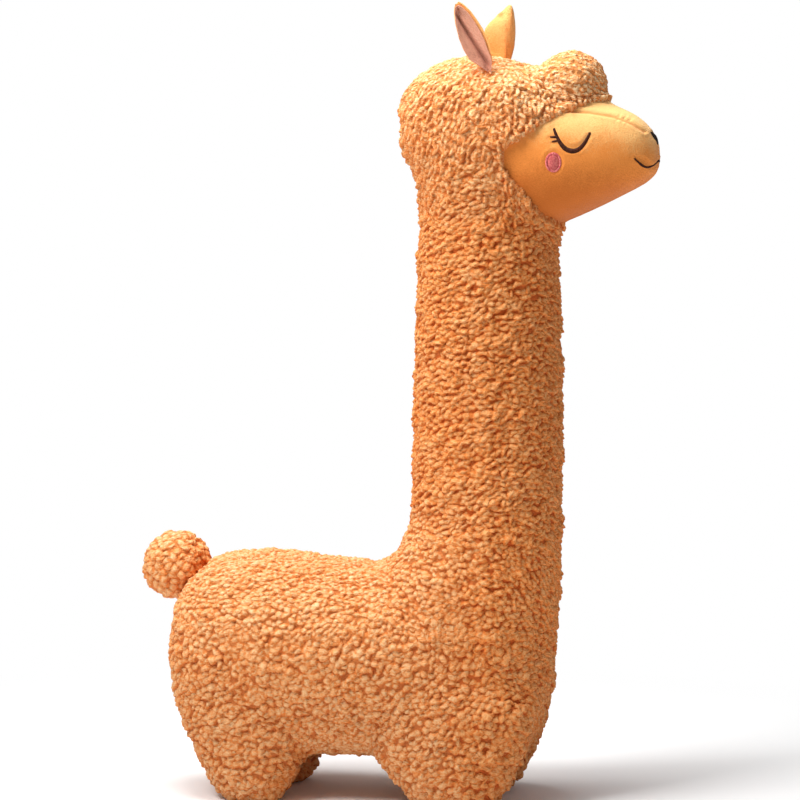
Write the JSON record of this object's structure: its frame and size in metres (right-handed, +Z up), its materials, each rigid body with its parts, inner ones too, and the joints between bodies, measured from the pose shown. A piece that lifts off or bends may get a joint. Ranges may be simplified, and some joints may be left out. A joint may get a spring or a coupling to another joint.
{
  "type": "plush alpaca",
  "caption": "Standing plush alpaca with a very long neck, a curly fleece body, a smooth sleeping face, upright ears and a round tail.",
  "frame": {"origin": "middle of the bounding box, at the level of the floor under the feet", "axes": "+X the way the animal faces, +Y its left side, +Z up"},
  "size_m": [0.6666, 0.233, 1.0111],
  "materials": {
    "curly_fleece": "curly pile fleece, apricot",
    "short_plush": "short smooth plush, golden orange",
    "ear_lining_plush": "short plush, dusty pink",
    "cheek_thread": "satin-stitched thread, pink",
    "cheek_border_thread": "satin-stitched thread, pale pink",
    "dark_thread": "embroidery thread, dark brown",
    "nose_thread": "embroidery thread, near black",
    "fibre_filling": "loose polyester fibre, white"
  },
  "bodies": {
    "root": {"fleece_side_left": "curly_fleece", "fleece_side_right": "curly_fleece", "belly_gusset": "curly_fleece", "tail_cover": "curly_fleece", "filling": "fibre_filling", "tail_filling": "fibre_filling", "face_side_left": "short_plush", "face_side_right": "short_plush", "nose_bridge_gusset": "short_plush", "ear_outer_left": "short_plush", "ear_outer_right": "short_plush", "ear_lining_left": "ear_lining_plush", "ear_lining_right": "ear_lining_plush", "eye_left": "dark_thread", "eye_right": "dark_thread", "mouth": "dark_thread", "nose": "nose_thread", "cheek_patch_left": "cheek_thread", "cheek_patch_right": "cheek_thread", "cheek_border_left": "cheek_border_thread", "cheek_border_right": "cheek_border_thread"}
  },
  "joints": []
}
